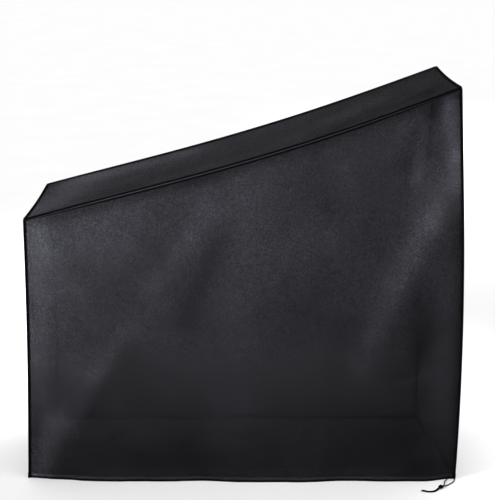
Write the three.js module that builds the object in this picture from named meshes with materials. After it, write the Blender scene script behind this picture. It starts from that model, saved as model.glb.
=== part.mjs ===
import * as THREE from 'three';

// Fitted exercise bike cover, in the shape in which it hangs. Millimetres, +Z up. X runs along the
// cover with the tall front end at +X, and the near side is at -Y. The hem touches the floor at
// Z = 0. Every panel is one sheet of cloth, with its hem, and keeps a small gap to the next one
// along a mitred seam. A binding strip is folded over each seam.

// Size at the top seams
const LENGTH = 1500;
const WIDTH = 600;
const REAR_HEIGHT = 963;
const FRONT_HEIGHT = 1420;
const REAR_X = -763;
const FRONT_X = REAR_X + LENGTH;
const NEAR_Y = -290;
const FAR_Y = NEAR_Y + WIDTH;

// Cloth
const SHEET_THICKNESS = 2;
const HEM_HEIGHT = 18;
const HEM_STEP = 3;
const HEM_PROUD = 1;
const SEAM_CLEARANCE = 0.45;
const SEAM_STRIP = 13;
const FOLD_RISE = 120;

// Bindings
const BINDING_THICKNESS = 1;
const BINDING_GAP = 0.4;
const BINDING_RIDGE = 2.6;
const BINDING_LEG = 6;
const WIDE_BINDING_LEG = 12;
const WIDE_RISE = 0.25;
const HEM_CUT = 0.1;
const SEAM_CUT = 0.62;

// Drawcord
const CORD_DIAMETER = 4;
const CORD_SIDES = 8;
const CORD_STEP = 10;
const KNOT_CENTRE = [702.4, -397.6, 6.6];
const KNOT_RADII = [9.4, 9.4, 6.4];
const KNOT_TURN = 0.76;
const KNOT_LOBE = 0.16;
const KNOT_FACES_ROUND = 14;
const KNOT_FACES_UP = 9;

// Grid steps along the length, across the width and up the height
const LENGTH_STEPS = 32;
const WIDTH_STEPS = 12;
const HEIGHT_STEPS = 22;

const CLOTH = { color: 0x1b1b1e, roughness: 0.82, metalness: 0 };
const TAPE = { color: 0x0a0a0c, roughness: 0.75, metalness: 0 };
const CORD = { color: 0x08080a, roughness: 0.7, metalness: 0 };

// Corners at the top seam and at the hem. The hem flares out on the near side and is drawn in
// on the far side.
const CORNERS = {
  nearRear: { top: [REAR_X, NEAR_Y, REAR_HEIGHT], hem: [REAR_X - 19, NEAR_Y - 3, 0] },
  nearFront: { top: [FRONT_X, NEAR_Y, FRONT_HEIGHT], hem: [FRONT_X + 25, NEAR_Y - 22, 0] },
  farRear: { top: [REAR_X, FAR_Y, REAR_HEIGHT + 2], hem: [REAR_X + 6, FAR_Y - 24, 0] },
  farFront: { top: [FRONT_X, FAR_Y, FRONT_HEIGHT + 1], hem: [FRONT_X - 37, FAR_Y - 28, 0] },
};

// An edge runs straight between two points, plus a bow whose peak the skew moves to and fro.
function edge(from, to, bow, skew = 1) {
  const start = new THREE.Vector3(...from);
  const end = new THREE.Vector3(...to);
  const bend = new THREE.Vector3(...bow);
  return (s) => start.clone().lerp(end, s).addScaledVector(bend, Math.sin(Math.PI * s ** skew));
}

const { nearRear, nearFront, farRear, farFront } = CORNERS;
const EDGES = {
  nearTop: edge(nearRear.top, nearFront.top, [0, 3, -28.5], 1.25),
  farTop: edge(farRear.top, farFront.top, [0, -3, -26], 1.15),
  rearTop: edge(nearRear.top, farRear.top, [2, 0, -4]),
  frontTop: edge(nearFront.top, farFront.top, [-2, 0, -5]),
  nearHem: edge(nearRear.hem, nearFront.hem, [0, -14, 0]),
  farHem: edge(farRear.hem, farFront.hem, [0, 9, 0]),
  rearHem: edge(nearRear.hem, farRear.hem, [-6, 0, 0]),
  frontHem: edge(nearFront.hem, farFront.hem, [7, 0, 0]),
  nearRearSide: edge(nearRear.hem, nearRear.top, [5, 0, 0]),
  nearFrontSide: edge(nearFront.hem, nearFront.top, [19, 0, 0], 0.87),
  farRearSide: edge(farRear.hem, farRear.top, [9, 5, 0]),
  farFrontSide: edge(farFront.hem, farFront.top, [-14, 6, 0], 1.2),
};

// A fold is a soft ridge, or a trough where it is below zero, along a line between two points
// of the panel's own two axes.
const fold = (x1, y1, x2, y2, width, height) => ({ x1, y1, x2, y2, width, height });

// A wave runs along the free hem and dies out upwards. Its start is an angle in radians.
const wave = (length, start, height) => ({ length, start, height });

// Panels. u runs along the first of the two axes and v along the second. Each edge is named by its
// place, seam angles are those between two sheets, and the bulge is the soft swell of the middle.
const PANELS = {
  near_side_panel: {
    axes: ['x', 'z'], outward: [0, -1, 0], steps: [LENGTH_STEPS, HEIGHT_STEPS], length: LENGTH,
    low: EDGES.nearHem, high: EDGES.nearTop, left: EDGES.nearRearSide, right: EDGES.nearFrontSide,
    hemmed: true, seamAngles: { left: 90, right: 90, high: 90 }, bulge: 6,
    waves: [wave(560, 0.4, 5), wave(255, 2.1, 2.5)],
    folds: [
      fold(660, 1352, 580, 1150, 42, -15),
      fold(722, 1090, 552, 745, 62, 13),
      fold(552, 745, 392, 330, 58, 12),
      fold(706, 640, 590, 190, 72, -11),
      fold(-742, 70, -600, 430, 50, 10),
      fold(-735, 915, -560, 690, 45, 8),
      fold(-240, 1060, -420, 300, 95, -9),
      fold(80, 1130, -40, 240, 105, 8),
      fold(250, 1190, 330, 980, 50, -7),
      fold(-700, 0, 700, 0, 150, 19),
    ],
  },
  far_side_panel: {
    axes: ['x', 'z'], outward: [0, 1, 0], steps: [LENGTH_STEPS, HEIGHT_STEPS], length: LENGTH,
    low: EDGES.farHem, high: EDGES.farTop, left: EDGES.farRearSide, right: EDGES.farFrontSide,
    hemmed: true, seamAngles: { left: 90, right: 90, high: 90 }, bulge: 16,
    waves: [wave(470, 1.3, 5), wave(230, 0.2, 2.5)],
    folds: [
      fold(-560, 905, -390, 120, 72, 11),
      fold(-120, 1080, -210, 150, 85, -10),
      fold(230, 1180, 330, 210, 82, 11),
      fold(560, 1300, 470, 420, 62, -13),
      fold(672, 1260, 612, 300, 50, 8),
      fold(-700, 820, -650, 300, 48, -7),
    ],
  },
  top_panel: {
    axes: ['x', 'y'], outward: [-0.29, 0, 0.957], steps: [LENGTH_STEPS, WIDTH_STEPS], length: LENGTH,
    low: EDGES.nearTop, high: EDGES.farTop, left: EDGES.rearTop, right: EDGES.frontTop,
    hemmed: false, seamAngles: { left: 105, right: 70, low: 90, high: 90 }, bulge: -14,
    waves: [],
    folds: [
      fold(-540, -110, -200, -180, 48, -9),
      fold(-390, -20, -70, 200, 62, 8),
      fold(240, -160, 640, 80, 52, -10),
      fold(190, -30, 600, 200, 52, 8),
      fold(-700, 160, -520, 50, 50, 5),
    ],
  },
  rear_end_panel: {
    axes: ['y', 'z'], outward: [-1, 0, 0], steps: [WIDTH_STEPS, HEIGHT_STEPS], length: WIDTH,
    low: EDGES.rearHem, high: EDGES.rearTop, left: EDGES.nearRearSide, right: EDGES.farRearSide,
    hemmed: true, seamAngles: { left: 90, right: 90, high: 105 }, bulge: 6,
    waves: [wave(330, 0.9, 5)],
    folds: [
      fold(-110, 880, -150, 60, 62, 9),
      fold(100, 870, 150, 90, 62, -9),
    ],
  },
  front_end_panel: {
    axes: ['y', 'z'], outward: [1, 0, 0], steps: [WIDTH_STEPS, HEIGHT_STEPS], length: WIDTH,
    low: EDGES.frontHem, high: EDGES.frontTop, left: EDGES.nearFrontSide, right: EDGES.farFrontSide,
    hemmed: true, seamAngles: { left: 90, right: 90, high: 70 }, bulge: 5,
    waves: [wave(310, 2.4, 5)],
    folds: [
      fold(-140, 1330, -80, 90, 62, 10),
      fold(80, 1360, 140, 70, 62, -10),
      fold(230, 1290, 0, 720, 52, 8),
    ],
  },
};

// Each binding joins a side of one sheet to a side of another. It is cut short at its two ends, by
// a share of the grid step there, where it would meet the floor or another binding. The two long
// ones at the top have one wide leg, the first or the second.
const CORNER = { cut: [HEM_CUT, SEAM_CUT] };
const CROSS = { cut: [SEAM_CUT, SEAM_CUT] };
const BINDINGS = [
  ['near_top_binding', ['near_side_panel', 'high'], ['top_panel', 'low'], { wide: 0 }],
  ['far_top_binding', ['far_side_panel', 'high'], ['top_panel', 'high'], { wide: 1 }],
  ['rear_top_binding', ['rear_end_panel', 'high'], ['top_panel', 'left'], CROSS],
  ['front_top_binding', ['front_end_panel', 'high'], ['top_panel', 'right'], CROSS],
  ['near_rear_binding', ['near_side_panel', 'left'], ['rear_end_panel', 'left'], CORNER],
  ['near_front_binding', ['near_side_panel', 'right'], ['front_end_panel', 'left'], CORNER],
  ['far_rear_binding', ['far_side_panel', 'left'], ['rear_end_panel', 'right'], CORNER],
  ['far_front_binding', ['far_side_panel', 'right'], ['front_end_panel', 'right'], CORNER],
];

const smooth = (t) => THREE.MathUtils.smoothstep(t, 0, 1);

// The patch that fills a panel's four edges.
function patch(panel, u, v) {
  const point = new THREE.Vector3();
  point.addScaledVector(panel.low(u), 1 - v).addScaledVector(panel.high(u), v);
  point.addScaledVector(panel.left(v), 1 - u).addScaledVector(panel.right(v), u);
  point.addScaledVector(panel.low(0), -(1 - u) * (1 - v)).addScaledVector(panel.low(1), -u * (1 - v));
  point.addScaledVector(panel.high(0), -(1 - u) * v).addScaledVector(panel.high(1), -u * v);
  return point;
}

function foldHeight({ x1, y1, x2, y2, width, height }, x, y) {
  const along = ((x - x1) * (x2 - x1) + (y - y1) * (y2 - y1)) / ((x2 - x1) ** 2 + (y2 - y1) ** 2);
  const t = THREE.MathUtils.clamp(along, 0, 1);
  const distance = Math.hypot(x - x1 - t * (x2 - x1), y - y1 - t * (y2 - y1));
  return height * Math.exp(-((distance / width) ** 2));
}

// The outer face of the cloth: the patch, pushed out and in by its bulge, folds and waves, which
// all die out towards the seams.
function clothPoint(panel, u, v) {
  const point = patch(panel, u, v);
  const [x, y] = panel.axes.map((axis) => point[axis]);
  const span = panel.low(u).distanceTo(panel.high(u));
  const fromSides = smooth((Math.min(u, 1 - u) * panel.length) / FOLD_RISE);
  const fromTop = smooth(((1 - v) * span) / FOLD_RISE);
  const fromLow = panel.hemmed ? 1 : smooth((v * span) / FOLD_RISE);
  const folds = panel.folds.reduce((sum, each) => sum + foldHeight(each, x, y), 0);
  const waves = panel.waves.reduce(
    (sum, { length, start, height }) => sum + height * Math.sin((2 * Math.PI * x) / length + start), 0);
  const swell = panel.bulge * Math.sin(Math.PI * u) * Math.sin(Math.PI * v);
  const push = (folds + waves * (1 - v) ** 2) * fromSides * fromTop * fromLow + swell;
  return point.addScaledVector(new THREE.Vector3(...panel.outward), push);
}

function clothNormal(panel, u, v) {
  const step = 1 / LENGTH;
  const clamp = (t) => THREE.MathUtils.clamp(t, 0, 1);
  const alongU = clothPoint(panel, clamp(u + step), v).sub(clothPoint(panel, clamp(u - step), v));
  const alongV = clothPoint(panel, u, clamp(v + step)).sub(clothPoint(panel, u, clamp(v - step)));
  const normal = alongU.cross(alongV).normalize();
  return normal.dot(new THREE.Vector3(...panel.outward)) < 0 ? normal.negate() : normal;
}

// Grid lines from one edge to the other: a share of the span plus a fixed distance. Next to a seam
// comes a narrow strip, which the binding covers, and next to a free edge the hem.
function gridLines(steps, inset, hemmed) {
  const first = hemmed ? [0, HEM_HEIGHT, HEM_HEIGHT + HEM_STEP] : [inset.low, SEAM_STRIP];
  const lines = first.map((offset) => ({ share: 0, offset }));
  for (let i = 1; i < steps; i += 1) lines.push({ share: i / steps, offset: 0 });
  lines.push({ share: 1, offset: -SEAM_STRIP }, { share: 1, offset: -inset.high });
  return lines;
}

// One face of the sheet as rows of points. The inner face is cut back further along each seam, so
// that two sheets meet in a mitre.
function sheetFace(panel, inner) {
  const inset = (side) => {
    const angle = THREE.MathUtils.degToRad((panel.seamAngles[side] ?? 180) / 2);
    return SEAM_CLEARANCE + (inner ? SHEET_THICKNESS / Math.tan(angle) : 0);
  };
  const columns = gridLines(panel.steps[0], { low: inset('left'), high: inset('right') }, false);
  const rows = gridLines(panel.steps[1], { low: inset('low'), high: inset('high') }, panel.hemmed);
  return rows.map((row) => columns.map((column) => {
    const u = column.share + column.offset / panel.length;
    const v = row.share + row.offset / panel.low(u).distanceTo(panel.high(u));
    const inHem = panel.hemmed && row.share === 0 && row.offset <= HEM_HEIGHT;
    const outerOffset = inHem ? HEM_PROUD : 0;
    const offset = inner ? -SHEET_THICKNESS : outerOffset;
    const point = clothPoint(panel, u, v).addScaledVector(clothNormal(panel, u, v), offset);
    if (inHem && row.offset === 0) point.z = 0;
    return point;
  }));
}

// A closed geometry whose faces are turned outwards by the sign of its volume.
function closedGeometry(points, triangles) {
  const volume = triangles.reduce((sum, [a, b, c]) => (
    sum + points[a].dot(new THREE.Vector3().crossVectors(points[b], points[c]))), 0);
  const faces = volume < 0 ? triangles.map(([a, b, c]) => [a, c, b]) : triangles;
  const geometry = new THREE.BufferGeometry().setFromPoints(points);
  geometry.setIndex(faces.flat());
  geometry.computeVertexNormals();
  return geometry;
}

function quad(a, b, c, d) {
  return [[a, b, c], [a, c, d]];
}

// The two faces of a sheet, joined all round by a rim. Both are split along the same diagonals,
// so that the wall keeps its thickness.
function sheetGeometry(outer, inner) {
  const rows = outer.length;
  const columns = outer[0].length;
  const at = (face, row, column) => face * rows * columns + row * columns + column;
  const triangles = [];
  for (let row = 0; row < rows - 1; row += 1) {
    for (let column = 0; column < columns - 1; column += 1) {
      const corners = [[row, column], [row, column + 1], [row + 1, column + 1], [row + 1, column]];
      const [a, b, c, d] = corners.map((corner) => at(0, ...corner));
      const [e, f, g, h] = corners.map((corner) => at(1, ...corner));
      triangles.push(...quad(a, b, c, d), ...quad(e, h, g, f));
    }
  }
  const rim = [];
  for (let column = 0; column < columns - 1; column += 1) rim.push([0, column]);
  for (let row = 0; row < rows - 1; row += 1) rim.push([row, columns - 1]);
  for (let column = columns - 1; column > 0; column -= 1) rim.push([rows - 1, column]);
  for (let row = rows - 1; row > 0; row -= 1) rim.push([row, 0]);
  rim.forEach(([row, column], i) => {
    const [nextRow, nextColumn] = rim[(i + 1) % rim.length];
    triangles.push(...quad(
      at(1, row, column), at(1, nextRow, nextColumn), at(0, nextRow, nextColumn), at(0, row, column)));
  });
  return closedGeometry([...outer.flat(), ...inner.flat()], triangles);
}

// A strip through the six-point sections of a folded tape. Each end is closed by its two legs.
function tapeGeometry(sections) {
  const size = sections[0].length;
  const at = (section, i) => section * size + (i % size);
  const last = sections.length - 1;
  const triangles = [];
  for (let section = 0; section < last; section += 1) {
    for (let i = 0; i < size; i += 1) {
      triangles.push(...quad(
        at(section, i), at(section, i + 1), at(section + 1, i + 1), at(section + 1, i)));
    }
  }
  for (const leg of [[0, 1, 2, 5], [5, 2, 3, 4]]) {
    triangles.push(...quad(...leg.map((i) => at(0, i)).reverse()));
    triangles.push(...quad(...leg.map((i) => at(last, i))));
  }
  return closedGeometry(sections.flat(), triangles);
}

// The sheet's points along one seam: on the edge, and a strip's width in from it.
function seamPoints(face, side) {
  const last = face.length - 1;
  const end = face[0].length - 1;
  const pairs = {
    low: () => face[0].map((point, i) => [point, face[1][i]]),
    high: () => face[last].map((point, i) => [point, face[last - 1][i]]),
    left: () => face.map((row) => [row[0], row[1]]),
    right: () => face.map((row) => [row[end], row[end - 1]]),
  };
  return pairs[side]();
}

// The binding's section at one place of the seam: two legs that lie on the two sheets, and between
// them the corner with its ridge.
function bindingSection([edgeA, innerA], [edgeB, innerB], tangent, [legA, legB]) {
  const alongA = innerA.clone().sub(edgeA).normalize();
  const alongB = innerB.clone().sub(edgeB).normalize();
  const outA = new THREE.Vector3().crossVectors(tangent, alongA).normalize();
  const outB = new THREE.Vector3().crossVectors(tangent, alongB).normalize();
  if (outA.dot(alongB) > 0) outA.negate();
  if (outB.dot(alongA) > 0) outB.negate();
  const back = edgeA.clone().sub(edgeB).dot(outB) / alongA.dot(outB);
  const corner = edgeA.clone().addScaledVector(alongA, -back);
  const mitre = outA.clone().add(outB).divideScalar(1 + outA.dot(outB));
  const near = BINDING_GAP;
  const far = BINDING_GAP + BINDING_THICKNESS;
  return [
    edgeA.clone().addScaledVector(alongA, legA).addScaledVector(outA, far),
    edgeA.clone().addScaledVector(alongA, legA).addScaledVector(outA, near),
    corner.clone().addScaledVector(mitre, near),
    edgeB.clone().addScaledVector(alongB, legB).addScaledVector(outB, near),
    edgeB.clone().addScaledVector(alongB, legB).addScaledVector(outB, far),
    corner.clone().addScaledVector(mitre, far + BINDING_RIDGE),
  ];
}

function bindingGeometry(faceA, sideA, faceB, sideB, { cut = [0, 0], wide }) {
  const seamA = seamPoints(faceA, sideA);
  const seamB = seamPoints(faceB, sideB);
  const end = seamA.length - 1;
  const sections = seamA.map((pair, i) => {
    const before = seamA[Math.max(i - 1, 0)][0];
    const after = seamA[Math.min(i + 1, end)][0];
    const tangent = after.clone().sub(before).normalize();
    const s = i / end;
    const middle = smooth(s / WIDE_RISE) * smooth((1 - s) / WIDE_RISE);
    const legs = [BINDING_LEG, BINDING_LEG];
    if (wide !== undefined) legs[wide] += (WIDE_BINDING_LEG - BINDING_LEG) * middle;
    return bindingSection(pair, seamB[i], tangent, legs);
  });
  sections[0].forEach((point, i) => point.lerp(sections[1][i], cut[0]));
  sections[end].forEach((point, i) => point.lerp(sections[end - 1][i], cut[1]));
  return tapeGeometry(sections);
}

const spot = (x, y, z) => new THREE.Vector3(x, y, z);

// The two strands lie on the floor from the hem to the knot, and from the knot to their bare ends.
const STRANDS = {
  a: {
    leg: [
      spot(763, -316.9, 9), spot(763, -321, 8.4), spot(762.6, -326, 5.4),
      spot(761.2, -332, 2.8), spot(758.2, -339, 2.2), spot(753.6, -347, 2.2),
      spot(747.4, -355.4, 2.2), spot(740.4, -363.4, 2.2), spot(732.8, -371, 2.2),
      spot(725, -378, 2.4), spot(717.6, -385.6, 3.6), spot(710.6, -393, 5.4),
    ],
    tail: [
      spot(697.8, -405.3, 5.4), spot(692.2, -411.8, 3.6), spot(686, -419, 2.3),
      spot(679.6, -425.4, 2.2), spot(672, -430.4, 2.2), spot(663.6, -431.6, 2.2),
      spot(655.4, -432, 2.2), spot(647.4, -429.8, 2.2), spot(639, -424.6, 2.2),
      spot(629, -421.4, 2.2),
    ],
  },
  b: {
    leg: [
      spot(740, -317.4, 14), spot(740, -321.8, 13), spot(738, -326.6, 9),
      spot(733.8, -330.4, 4.9), spot(728.6, -335, 2.4), spot(724.8, -341.2, 2.2),
      spot(722.6, -348.4, 2.2), spot(721.6, -356, 2.2), spot(720.2, -364, 2.2),
      spot(717.8, -371.8, 2.3), spot(713.8, -380, 3.6), spot(707, -390.1, 5.4),
    ],
    tail: [
      spot(694.6, -401.9, 5.4), spot(688.6, -408.6, 3.6), spot(682.4, -415.8, 2.3),
      spot(676.8, -421.4, 2.2), spot(670.4, -425.4, 2.2), spot(663.4, -426.8, 2.2),
      spot(656, -427.2, 2.2), spot(649.4, -425.2, 2.2), spot(641.6, -420.2, 2.2),
      spot(633.6, -417, 2.2),
    ],
  },
};

function cordGeometry(points) {
  const path = new THREE.CatmullRomCurve3(points);
  const section = new THREE.Shape();
  for (let i = 0; i < CORD_SIDES; i += 1) {
    const angle = (2 * Math.PI * i) / CORD_SIDES;
    const place = [Math.cos(angle), Math.sin(angle)].map((c) => (c * CORD_DIAMETER) / 2);
    if (i === 0) section.moveTo(...place);
    else section.lineTo(...place);
  }
  const steps = Math.round(path.getLength() / CORD_STEP);
  return new THREE.ExtrudeGeometry(section, { steps, extrudePath: path, bevelEnabled: false });
}

// The knot is one lumpy body: the strands' turns stand out of it as lobes.
function knotGeometry() {
  const geometry = new THREE.SphereGeometry(1, KNOT_FACES_ROUND, KNOT_FACES_UP);
  const position = geometry.getAttribute('position');
  const point = new THREE.Vector3();
  for (let i = 0; i < position.count; i += 1) {
    point.fromBufferAttribute(position, i);
    const round = Math.atan2(point.y, point.x);
    const waist = 1 - point.z ** 2;
    const lobes = 1 - KNOT_LOBE * waist * Math.cos(2 * round + 2 * point.z);
    point.multiplyScalar(lobes).multiply(new THREE.Vector3(...KNOT_RADII));
    position.setXYZ(i, ...point);
  }
  return geometry;
}

const faces = new Map();
const group = new THREE.Group();

function addMesh(name, geometry, finish) {
  const mesh = new THREE.Mesh(geometry, new THREE.MeshStandardMaterial(finish));
  mesh.name = name;
  group.add(mesh);
  return mesh;
}

for (const [name, panel] of Object.entries(PANELS)) {
  const outer = sheetFace(panel, false);
  faces.set(name, outer);
  addMesh(name, sheetGeometry(outer, sheetFace(panel, true)), CLOTH);
}

for (const [name, [nameA, sideA], [nameB, sideB], extent] of BINDINGS) {
  addMesh(name, bindingGeometry(faces.get(nameA), sideA, faces.get(nameB), sideB, extent), TAPE);
}

for (const [strand, { leg, tail }] of Object.entries(STRANDS)) {
  addMesh(`drawcord_leg_${strand}`, cordGeometry(leg), CORD);
  addMesh(`drawcord_tail_${strand}`, cordGeometry(tail), CORD);
}

const knot = addMesh('drawcord_knot', knotGeometry(), CORD);
knot.position.set(...KNOT_CENTRE);
knot.rotation.z = KNOT_TURN;

export default group;
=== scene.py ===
import math

import bpy
import numpy as np
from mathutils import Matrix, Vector


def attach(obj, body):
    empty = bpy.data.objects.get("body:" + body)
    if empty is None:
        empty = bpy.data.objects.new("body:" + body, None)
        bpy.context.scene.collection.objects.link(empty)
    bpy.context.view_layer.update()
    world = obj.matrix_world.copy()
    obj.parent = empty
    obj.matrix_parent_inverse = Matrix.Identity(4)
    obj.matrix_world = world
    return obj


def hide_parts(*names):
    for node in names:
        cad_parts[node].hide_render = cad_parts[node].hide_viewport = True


# Looks of the fitted cover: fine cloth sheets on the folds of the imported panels, bound seams with
# their stitching, and the drawcord with its knot. The cloth's tables are in millimetres, as in the
# part's source, and MM turns them into metres.
MM = 0.001

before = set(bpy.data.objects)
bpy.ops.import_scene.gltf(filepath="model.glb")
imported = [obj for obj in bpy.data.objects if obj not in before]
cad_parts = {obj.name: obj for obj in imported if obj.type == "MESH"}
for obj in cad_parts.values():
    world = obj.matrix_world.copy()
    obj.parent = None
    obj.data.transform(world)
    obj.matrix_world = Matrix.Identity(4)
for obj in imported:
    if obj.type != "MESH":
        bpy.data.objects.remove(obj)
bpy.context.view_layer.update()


# Camera

CAMERA_PLACE = (-0.016, -4.865, 2.018)
CAMERA_DOWN = math.radians(14.28)
CAMERA_TURN = math.radians(-0.35)
CAMERA_LENS = 97.27

camera_data = bpy.data.cameras.new("camera")
camera_data.sensor_width = 36
camera_data.lens = CAMERA_LENS
camera = bpy.data.objects.new("camera", camera_data)
camera.location = CAMERA_PLACE
camera.rotation_euler = (math.pi / 2 - CAMERA_DOWN, 0, CAMERA_TURN)
bpy.context.scene.collection.objects.link(camera)
bpy.context.scene.camera = camera


# Materials

class Finish:
    """A material with one Principled shader, whose even values are on its own sockets."""

    def __init__(self, name, color, roughness, specular, alpha=1.0, sheen=0.0, sheen_roughness=0.5):
        self.material = bpy.data.materials.new(name)
        self.material.use_nodes = True
        self.nodes = self.material.node_tree.nodes
        self.links = self.material.node_tree.links
        self.shader = self.nodes["Principled BSDF"]
        self.color = color
        values = {
            "Base Color": (*color, 1), "Roughness": roughness, "Specular IOR Level": specular,
            "Alpha": alpha, "Sheen Weight": sheen, "Sheen Roughness": sheen_roughness,
        }
        for label, value in values.items():
            self.shader.inputs[label].default_value = value

    def math(self, operation, *values):
        """The result of a Math node. Each value is a number or an output socket."""
        node = self.nodes.new("ShaderNodeMath")
        node.operation = operation
        for socket, value in zip(node.inputs, values):
            if isinstance(value, (int, float)):
                socket.default_value = value
            else:
                self.links.new(value, socket)
        return node.outputs[0]

    def place(self, scale=(1, 1, 1), turn=(0, 0, 0)):
        """The place on the object, scaled and turned."""
        coordinates = self.nodes.new("ShaderNodeTexCoord")
        mapping = self.nodes.new("ShaderNodeMapping")
        mapping.inputs["Scale"].default_value = scale
        mapping.inputs["Rotation"].default_value = turn
        self.links.new(coordinates.outputs["Object"], mapping.inputs["Vector"])
        return mapping.outputs["Vector"]

    def axes(self):
        """The place on the object, split into X, Y and Z."""
        split = self.nodes.new("ShaderNodeSeparateXYZ")
        self.links.new(self.place(), split.inputs[0])
        return split.outputs

    def noise(self, scale, detail=1.0, stretch=(1, 1, 1), turn=(0, 0, 0)):
        node = self.nodes.new("ShaderNodeTexNoise")
        node.inputs["Scale"].default_value = scale
        node.inputs["Detail"].default_value = detail
        self.links.new(self.place(stretch, turn), node.inputs["Vector"])
        return node.outputs["Fac"]

    def wave(self, along, pitch):
        """A sine wave along one of the axes."""
        return self.math("SINE", self.math("MULTIPLY", along, 2 * math.pi / pitch))

    def attribute(self, label):
        """A value that the mesh gives at each of its points."""
        node = self.nodes.new("ShaderNodeAttribute")
        node.attribute_name = label
        return node.outputs["Fac"]

    def remap(self, value, span, shares):
        """The value's span, mapped softly onto another one."""
        node = self.nodes.new("ShaderNodeMapRange")
        node.interpolation_type = "SMOOTHSTEP"
        labels = ("From Min", "From Max", "To Min", "To Max")
        for label, number in zip(labels, (*span, *shares)):
            node.inputs[label].default_value = number
        self.links.new(value, node.inputs["Value"])
        return node.outputs[0]

    def tint(self, share):
        """Multiplies the base colour by a share that varies over the surface."""
        node = self.nodes.new("ShaderNodeVectorMath")
        node.operation = "SCALE"
        node.inputs[0].default_value = self.color
        self.links.new(share, node.inputs["Scale"])
        self.links.new(node.outputs["Vector"], self.shader.inputs["Base Color"])

    def relief(self, height, distance):
        """Bumps whose heights are shares of the distance."""
        node = self.nodes.new("ShaderNodeBump")
        node.inputs["Distance"].default_value = distance
        self.links.new(height, node.inputs["Height"])
        self.links.new(node.outputs["Normal"], self.shader.inputs["Normal"])


CLOTH = dict(roughness=0.8, specular=0.0, sheen=0.01, sheen_roughness=0.5)
TAPE = dict(roughness=0.7, specular=0.0, sheen=0.001, sheen_roughness=0.4)
THREAD = dict(roughness=0.6, specular=0.06, sheen=0.01, sheen_roughness=0.3)
BRAID = dict(roughness=0.75, specular=0.0, sheen=0.006, sheen_roughness=0.35)

CLOTH_COLOR = (0.013, 0.013, 0.0158)
# The tape's near-black is its own dark colour together with painted shade of the gaps along its edges.
TAPE_COLOR = (0.0018, 0.0018, 0.0022)
# A paler tape for the flat strip of the wide leg: painted light on the flat tape between its dark
# edges.
PAINTED_LIGHT_TAPE_COLOR = (0.019, 0.019, 0.023)
SHEER_TAPE_COLOR = (0.006, 0.006, 0.0074)
SHEER_TAPE_ALPHA = 0.55
THREAD_COLOR = (0.010, 0.010, 0.012)
CORD_COLOR = (0.0018, 0.0018, 0.0022)

# Pitches in metres, and scales of noise and cells per metre
WEAVE_PITCH = 0.0016
CHECK_PITCH = 0.012
RIB_PITCH = 0.0015
GRAIN_SCALE = 170.0
FLECK_SCALE = 110.0
SLUB_SCALE = 60.0
SLUB_STRETCH = 5.0
CLOUD_SCALE = 6.0
CLOUD_TURN = (0.5, 0.6, 0.3)
TAPE_FUZZ_SCALE = 260.0
TWIST_SCALE = 1400.0
CORD_FUZZ_SCALE = 500.0
BRAID_SCALE = 900.0

# Each has the span of a value and the shares of the base colour at its two ends.
# The first two are painted light and shade: the cloth is darker towards the bottom and paler towards
# the rear end, where the light comes from.
RISE_PAINTED_SHADE = ((-0.1, 1.15), (0.58, 1.3))
REACH_PAINTED_LIGHT = ((-0.8, 0.8), (1.2, 0.94))
CLOUD_TONES = ((0.3, 0.7), (0.92, 1.08))
GRAIN_TONES = ((0.34, 0.66), (0.88, 1.12))
FLECK_TONES = ((0.3, 0.7), (0.9, 1.1))
SLUB_TONES = ((0.3, 0.7), (0.86, 1.14))
TAPE_TONES = ((0.25, 0.75), (0.7, 1.35))
TWIST_TONES = ((0.3, 0.7), (0.7, 1.3))
CORD_TONES = ((0.3, 0.7), (0.7, 1.4))

# Heights of bumps in metres, and what the regular waves have in them
CLOTH_RELIEF = 0.0003
TAPE_RELIEF = 0.0004
THREAD_RELIEF = 0.0002
CORD_RELIEF = 0.0006
WEAVE_IN_RELIEF = 0.5
RIBS_IN_RELIEF = 0.4

# The cloth's alpha follows the grain's span. The grain's highest value is a slope over its
# strength, and a start.
SHEER_SPAN = (0.36, 0.64)
SHEER_EVEN = (-0.05, 0.05)
CHECK_IN_SHEER = 0.3
GRAIN_MIDDLE = 0.5
GRAIN_PEAK = (0.2, 0.44)


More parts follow.
